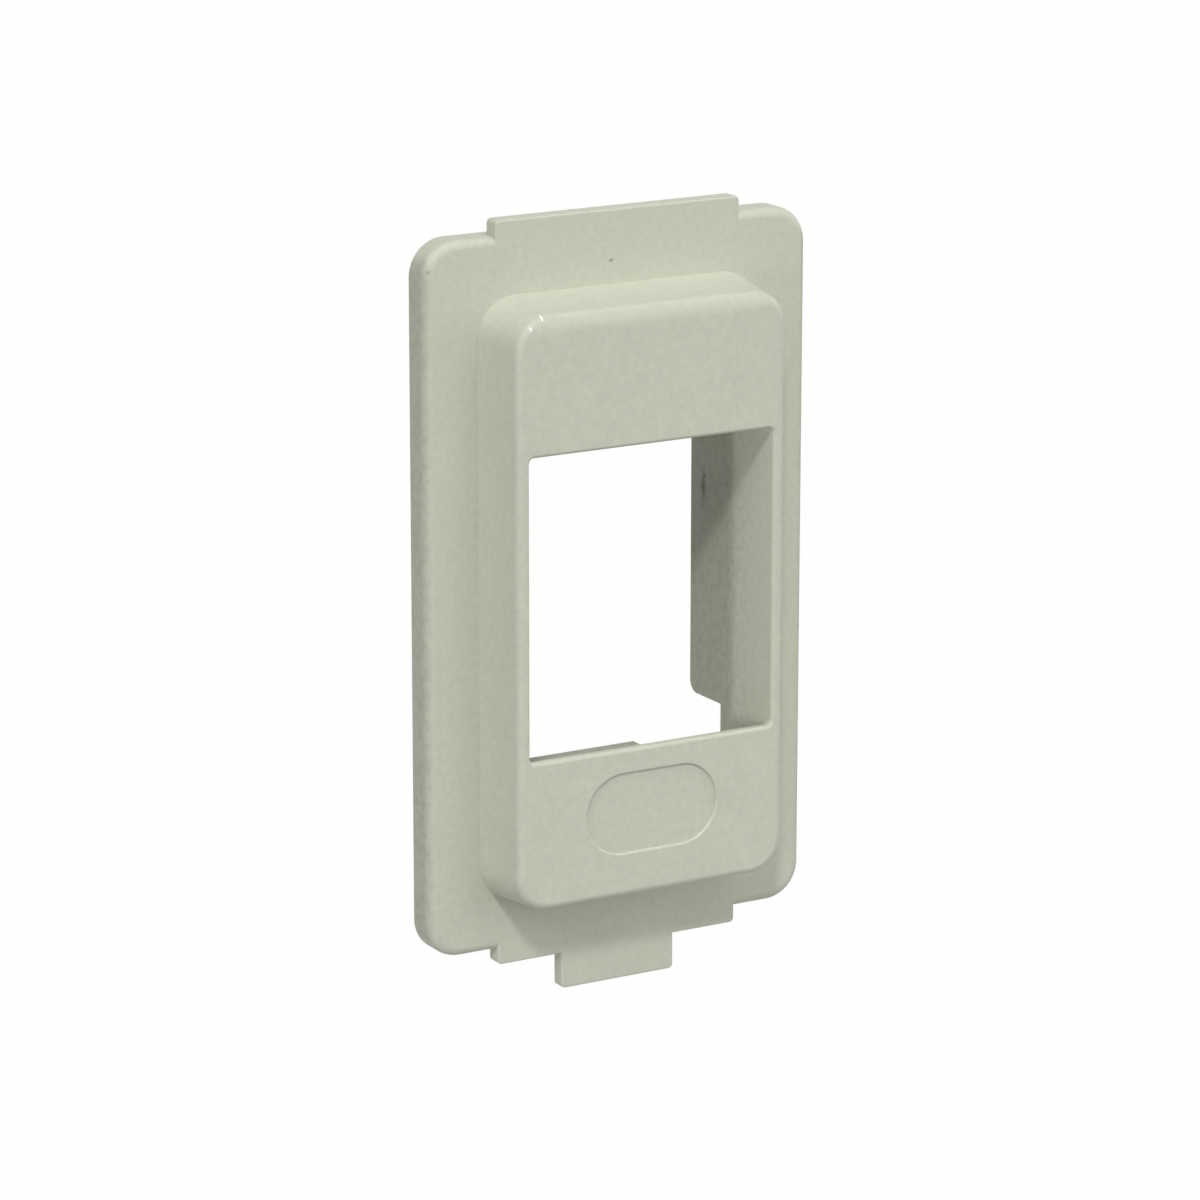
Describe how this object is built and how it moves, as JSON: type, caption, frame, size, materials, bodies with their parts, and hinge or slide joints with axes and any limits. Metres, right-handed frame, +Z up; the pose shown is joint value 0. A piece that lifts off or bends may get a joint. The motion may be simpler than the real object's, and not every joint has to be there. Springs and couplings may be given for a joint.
{
  "type": "keystone wall module adapter",
  "caption": "Snap-in keystone adapter for a wall plate: a cream moulded shell with a flat flange, a raised rounded boss, a keystone port and lips that catch behind the plate.",
  "frame": {"origin": "middle of the flange's front face, in the plane that bears on the back of the wall plate", "axes": "+X to the right seen from the front, +Y to the back, into the wall, +Z up"},
  "size_m": [0.0232, 0.0084, 0.0424],
  "materials": {
    "shell_plastic": "fine satin mould finish, cream white"
  },
  "bodies": {
    "root": {"adapter_body": "shell_plastic"}
  },
  "joints": []
}
